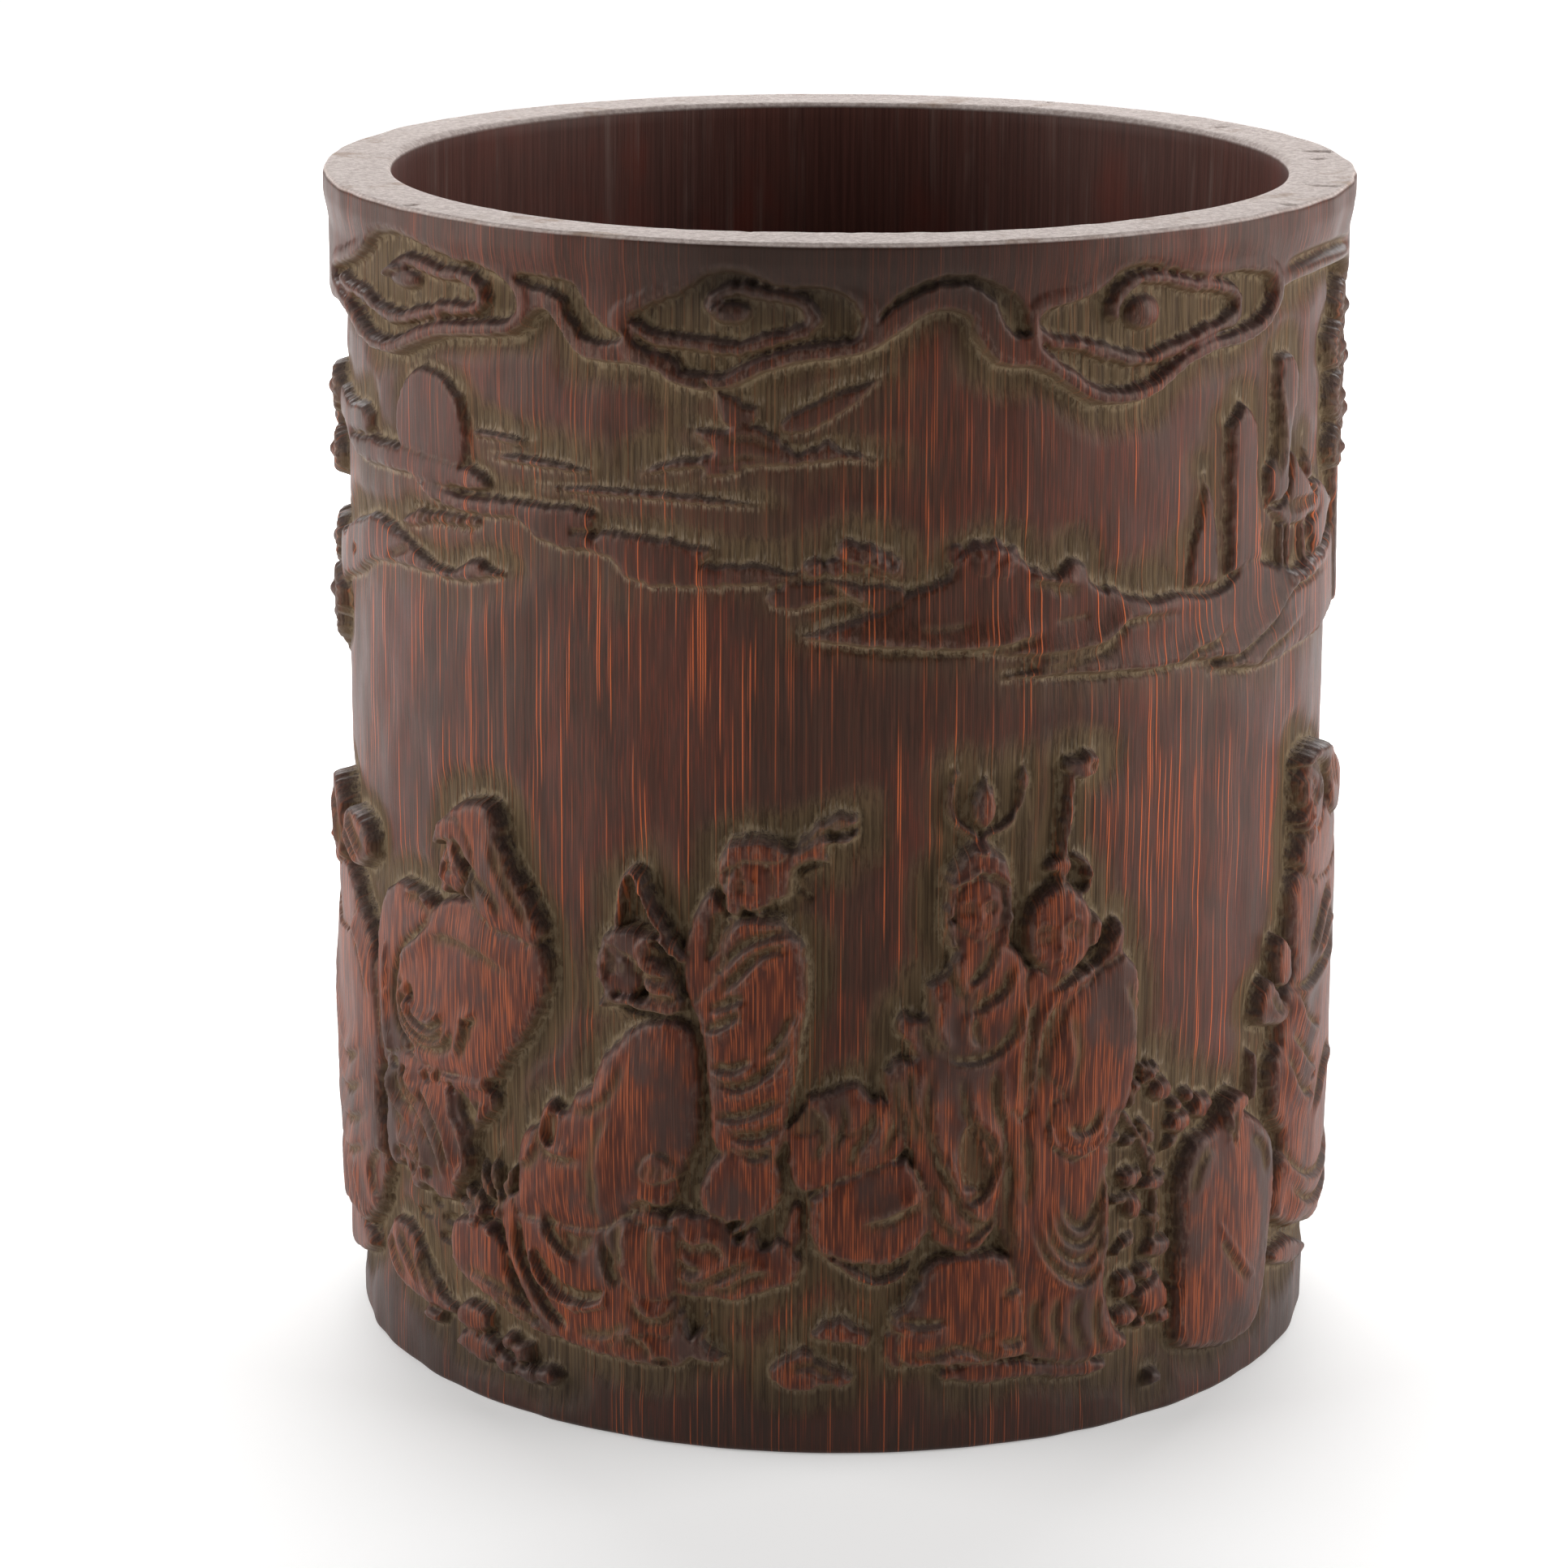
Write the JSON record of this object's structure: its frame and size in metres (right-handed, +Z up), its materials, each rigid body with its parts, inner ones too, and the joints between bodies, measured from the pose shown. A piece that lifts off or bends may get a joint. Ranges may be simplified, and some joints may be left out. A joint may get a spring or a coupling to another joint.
{
  "type": "brush pot",
  "caption": "Carved bamboo brush pot: an open round culm with relief carving all round, and a floor board let into its foot.",
  "frame": {"origin": "middle of the foot's resting plane, on the culm's axis", "axes": "+Z up the culm's axis, out of the mouth; -Y is the front of the carving, with the hooded figure on the left and the monk on the right; +X to the right seen from the front"},
  "size_m": [0.13, 0.13, 0.15],
  "materials": {
    "carved_bamboo": "satin, hand-polished and stained red-brown",
    "floor_bamboo": "matt, oiled",
    "peg_bamboo": "matt"
  },
  "bodies": {
    "root": {"culm_wall": "carved_bamboo", "floor_board": "floor_bamboo", "seam_pegs": "peg_bamboo"}
  },
  "joints": []
}
